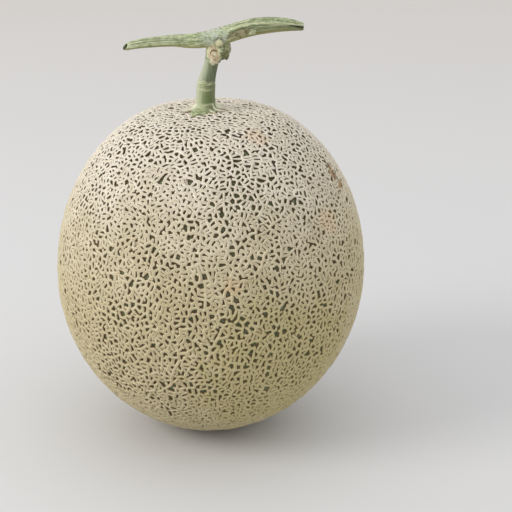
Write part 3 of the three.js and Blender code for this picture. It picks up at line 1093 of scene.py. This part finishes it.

# %% [markdown]
# ### The rind's finish
#
# Cork is dry and dull. Its flanks and the foot below them are painted dark, as the shade
# down in the openings, its rounded tops are pale, and the sharp edge of a top is the palest,
# a painted highlight. Painted light and shade by height make the cork whiter up by the stem
# and darker and warmer near the ground, and the flanks near the crown near black. Bare skin
# is a grey green, and lies in the openings alone.
#
# A painted map wrapped round the rind would smear on the strands' steep sides. The mesh
# knows for each point how deep inside its strand it lies and whether it is in a valley, so
# the colours are laid on by those two marks, and noise at three scales breaks them up.

# %% Places on the rind
# Each spot is its middle in metres and how far it reaches.
TAN_PATCHES = [
    ((0.0222, -0.0292, 0.1574), 0.008), ((0.0095, -0.0736, 0.0995), 0.006),
    ((0.0540, -0.0400, 0.1190), 0.009),
]
BLEMISH = [
    ((0.0568, -0.0145, 0.1379), 0.0030), ((0.0591, -0.0163, 0.1340), 0.0040),
    ((0.0628, -0.0150, 0.1290), 0.0034),
]
# A painted reflection: yellow-green light on the lower right of the front, painted as an olive
# tint.
PAINTED_REFLECTION_SIDE = [((0.0350, -0.0620, 0.0480), 0.060)]
BLOSSOM_END = [((-0.0007, 0, 0), 0.007)]
# Heights in metres: under the first the cork has its painted shade, over the second its painted
# light.
GROUND_PAINTED_SHADE, TOP_PAINTED_LIGHT = 0.08, 0.165
print(len(TAN_PATCHES), "tan patches and a blemish of", len(BLEMISH), "spots")


# %% Rind
def rind_material():
    """Colours laid over each other: the strand's foot and flank, painted dark as shade, its
    edge, a painted highlight, and its top, then a painted reflection on the lower side, the
    patches, the valleys' painted shade, the bare skin and the scars."""
    material, wire, place = new_material("cork_and_skin")
    inside, valley = wire.mark("inside"), wire.mark("valley")
    broad = wire.noise(place, per_metre=28)
    patchy = wire.noise(place, per_metre=160, detail=4)
    grain = wire.noise(place, per_metre=1400, detail=4, rough=0.65)
    upright = wire.node("ShaderNodeSeparateXYZ", None, {0: place}, "Z") + (broad - 0.5) * 0.05

    def close_to(spots):
        """1 near any of these spots, with an edge that wanders, and 0 away from them."""
        share = 0
        for middle, reach in spots:
            ends = {0: place, 1: middle}
            away = wire.node("ShaderNodeVectorMath", {"operation": "DISTANCE"}, ends, "Value")
            share = share + (away + (patchy - 0.5) * reach).between(reach, reach * 0.4)
        return share.between(0, 1)

    def painted_light_by_height(lowest, highest):
        """Painted shade and light: the first colour near the ground, the second up high."""
        share = upright.between(GROUND_PAINTED_SHADE, TOP_PAINTED_LIGHT)
        return wire.mix(share, colour(*lowest), colour(*highest))

    # Top, tan and edge are each painted darker and warmer near the ground and paler up by the stem,
    # as painted shade and light.
    top = broad.blotched(painted_light_by_height((174, 161, 124), (198, 187, 167)),
                         painted_light_by_height((184, 171, 135), (212, 201, 182)), 0.35, 0.65)
    tanned = painted_light_by_height((182, 156, 112), (194, 170, 141))
    top = wire.mix(patchy.between(0.5, 0.75) * 0.5, top, tanned)
    # Painted highlight: the edge of a strand's top is the palest cork.
    edge = patchy.blotched(painted_light_by_height((194, 182, 146), (222, 213, 196)),
                           painted_light_by_height((204, 193, 158), (236, 228, 213)), 0.35, 0.65)
    # Painted shade: the flank is a mid brown and the foot a near black brown, as the shade down in
    # the openings, and up towards the crown the flank turns near black.
    flank = patchy.blotched(colour(144, 127, 96), colour(160, 142, 110), 0.35, 0.65)
    flank = wire.mix(upright.between(0.11, 0.15), flank, colour(56, 46, 28))
    foot = broad.blotched(colour(48, 38, 18), colour(60, 49, 25), 0.3, 0.7)
    skin = patchy.blotched(colour(84, 92, 66), colour(110, 119, 92), 0.35, 0.65)
    blemish = patchy.blotched(colour(164, 130, 88), colour(84, 56, 32), 0.42, 0.58)
    blossom_scar = patchy.blotched(colour(170, 146, 106), colour(120, 96, 62))
    cork = wire.layered(foot, [
        (inside.between(0.0, 0.16), flank),
        (inside.between(0.16, 0.42), edge),
        (inside.between(0.5, 0.85), top),
        # Painted reflection: an olive tint on the lower right of the front.
        (close_to(PAINTED_REFLECTION_SIDE) * 0.42, colour(176, 164, 102)),
        (close_to(TAN_PATCHES) * (0.15 + 0.25 * patchy), colour(212, 172, 128)),
        # Painted shade: the valleys between strands are darkened to a brown.
        (valley.between(0.0, 0.07) * 0.9, colour(82, 64, 36)),
        (grain.between(0.45, 0.75) * 0.3, colour(162, 143, 112)),
        (inside.between(-0.12, -0.45), skin),
        (close_to(BLEMISH) * 0.85, blemish),
        (close_to(BLOSSOM_END) * 0.8, blossom_scar),
    ])
    return finish_material(material, wire, {
        "Base Color": cork, "Roughness": 0.78 + 0.12 * grain, "Specular IOR Level": 0.3,
        "Normal": wire.bump(grain + patchy * 0.6, strength=0.35, distance=0.0003)})


cork_and_skin = rind_material()
for piece in rind:
    piece.data.materials.append(cork_and_skin)
    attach(piece, "root")
    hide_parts("netted_fruit")

# %% [markdown]
# ### The stem's finish
#
# A cut stem is a dry, striped green with a waxy bloom at its node. Scars and flakes are
# cork again, and the grooves and cracks hold the dark. The carving's own marks say where
# each of these is. The base is a green whose noise is drawn out along the vine and up the
# stalk, because fibres run that way, and every other colour is one layer over it. Some
# layers are painted light and shade: the stalk paler on its left and darker on its right,
# the right arm darker in front, the vine's underside a yellow olive highlight, and the
# hollows at the cut ends and the split near black.


# %% Stalk and vine
def stem_material():
    """The vine's green, the stalk's darker one over it, and then a layer for each mark."""
    material, wire, place = new_material("green_vine")
    mark = {name: wire.mark(name) for name in marks}
    scaled = {"operation": "MULTIPLY"}
    lengthwise = wire.node("ShaderNodeVectorMath", scaled, {0: place, 1: (0.2, 1, 1)})
    upright = wire.node("ShaderNodeVectorMath", scaled, {0: place, 1: (1, 1, 0.1)})
    streak = wire.noise(lengthwise, per_metre=1500, detail=4)
    stripe = wire.noise(upright, per_metre=1100, detail=4)
    patch = wire.noise(place, per_metre=300, detail=4, rough=0.6)
    grain = wire.noise(place, per_metre=1800)

    green = wire.layered(streak.blotched(colour(126, 136, 92), colour(188, 194, 156)), [
        (mark["tip"] * 0.4, colour(206, 210, 172)),
        # Painted shade: the right arm's front and lower side darker.
        (mark["front"] * 0.7, colour(114, 118, 84)),
        # Painted highlight: a yellow olive on the vine's underside.
        (mark["under"] * 0.8, colour(156, 148, 94)),
        (patch.between(0.5, 0.6) * 0.4, colour(98, 112, 70)),
    ])
    upper = stripe.blotched(colour(104, 113, 84), colour(126, 136, 108))
    stalk = wire.layered(stripe.blotched(colour(130, 140, 96), colour(158, 164, 122)), [
        (mark["above"].between(0.27, 0.34), upper),
        (mark["above"].between(0.1, 0.0) * 0.5, colour(182, 186, 146)),
        # Painted light on the stalk's left side and painted shade on its right side.
        (mark["painted_lit_side"] * 0.7, colour(196, 200, 172)),
        (mark["painted_shade_side"] * 0.6, colour(78, 84, 56)),
        (mark["band"] * 0.6, colour(92, 110, 56)),
    ])
    olive = patch.blotched(colour(80, 80, 46), colour(120, 116, 76))
    brown = patch.blotched(colour(160, 150, 116), colour(110, 102, 72))
    pale = patch.blotched(colour(196, 198, 162), colour(172, 176, 136))
    rooted = wire.mix(mark["far"], colour(216, 213, 186), colour(206, 197, 176))
    knob = patch.blotched(colour(192, 188, 150), colour(142, 138, 100), 0.42, 0.58)
    scarred = patch.blotched(colour(212, 203, 170), colour(182, 162, 128))
    skin = wire.layered(green, [
        (mark["stalk"], stalk),
        (mark["bloom"] * (0.25 + 0.5 * patch.between(0.4, 0.6)), colour(194, 199, 182)),
        (mark["wrinkle"] * 0.5, colour(110, 120, 102)),
        (mark["flaky"] * grain.between(0.3, 0.6), colour(146, 144, 110)),
        (mark["flaky"] * patch.between(0.45, 0.58) * 0.7, colour(96, 98, 66)),
        (mark["olive"] * 0.8, olive),
        (mark["brown"] * 0.9, brown),
        (mark["groove"] * 0.8, colour(68, 80, 46)),
        (mark["ridge"] * 0.6, colour(200, 200, 164)),
        (mark["pale"], pale),
        (mark["root"], rooted),
        (mark["knob"], knob),
        (mark["scar"], scarred),
        (mark["pits"] * 0.4, colour(150, 122, 92)),
        # Partly painted shade: the hollows at the cut ends and the split are painted near black as
        # shade; the carved crescents, tear, rings and slits are painted dark too.
        (mark["dark"] * 0.9, colour(46, 54, 34)),
        (mark["crack"], colour(66, 50, 36)),
    ])
    return finish_material(material, wire, {
        "Base Color": skin, "Roughness": 0.5 + 0.25 * grain, "Specular IOR Level": 0.35,
        "Normal": wire.bump(grain + streak * 0.8, strength=0.4, distance=0.0002)})


stem.data.materials.append(stem_material())
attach(stem, "root")
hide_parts("vine_stem")

# %% [markdown]
# ## Floor, light and camera
#
# The melon stands on a plain pale table that runs on past the edge of the view, so that
# floor and background are one. One big square is enough. Its far part is a little warmer.

# %% Floor
FLOOR_SIDE = 6.0

half = FLOOR_SIDE / 2
corners = [(-half, -half, 0), (half, -half, 0), (half, half, 0), (-half, half, 0)]
floor = bpy.data.objects.new("floor", bpy.data.meshes.new("floor"))
floor.data.from_pydata(corners, [], [(0, 1, 2, 3)])
bpy.context.scene.collection.objects.link(floor)
material, wire, place = new_material("pale_floor")
far = wire.node("ShaderNodeSeparateXYZ", None, {0: place}, "Y").between(0.1, 1.4)
paint = wire.mix(far, colour(210, 208, 206), colour(205, 197, 189))
finish_material(material, wire, {"Base Color": paint, "Roughness": 0.7})
floor.data.materials.append(material)

# %% [markdown]
# A pale room all round keeps the shadows soft. One round lamp high on the left gives each
# strand a lit and a shaded side. A smaller lamp would draw hard lines between the strands.

# %% Light
KEY_PLACE, KEY_AIM = Vector((-1.2, -0.5, 0.85)), Vector((0, 0, 0.08))
KEY_SIZE, KEY_POWER, KEY_TINT = 0.8, 10, (1, 0.985, 0.96)
ROOM_COLOUR, ROOM_STRENGTH = (0.95, 0.97, 1, 1), 0.98

lamp = bpy.data.lights.new("key", "AREA")
lamp.shape, lamp.size, lamp.energy, lamp.color = "DISK", KEY_SIZE, KEY_POWER, KEY_TINT
key = bpy.data.objects.new("key", lamp)
key.location = KEY_PLACE
key.rotation_euler = (KEY_AIM - KEY_PLACE).to_track_quat("-Z", "Y").to_euler()
bpy.context.scene.collection.objects.link(key)

world = bpy.data.worlds.new("pale_room")
world.use_nodes = True
background = world.node_tree.nodes["Background"].inputs
background["Color"].default_value = ROOM_COLOUR
background["Strength"].default_value = ROOM_STRENGTH
bpy.context.scene.world = world
bpy.context.scene.view_settings.view_transform = "Standard"
print(f"the lamp is {(KEY_AIM - KEY_PLACE).length:.2f} m away and {KEY_SIZE} m across")

# %% [markdown]
# The camera stands well away and looks through a long lens. From close by, the top of the
# fruit would swell and its foot shrink. It looks a little past the melon, at a point to
# its right.

# %% Camera
CAMERA_DISTANCE = 0.900
CAMERA_RISE = math.radians(21.0)
CAMERA_AIM = Vector((0.0222, 0, 0.0057 + CENTRE_Z * MM))
LENS, SENSOR, NEAREST = 128.18, 36, 0.01

view = bpy.data.cameras.new("camera")
view.lens, view.sensor_width, view.clip_start = LENS, SENSOR, NEAREST
camera = bpy.data.objects.new("camera", view)
back, above = CAMERA_DISTANCE * math.cos(CAMERA_RISE), CAMERA_DISTANCE * math.sin(CAMERA_RISE)
camera.location = (0, -back, above + CENTRE_Z * MM)
camera.rotation_euler = (CAMERA_AIM - camera.location).to_track_quat("-Z", "Y").to_euler()
bpy.context.scene.collection.objects.link(camera)
bpy.context.scene.camera = camera
print(f"the camera stands {back:.2f} m in front and {camera.location.z:.2f} m up")
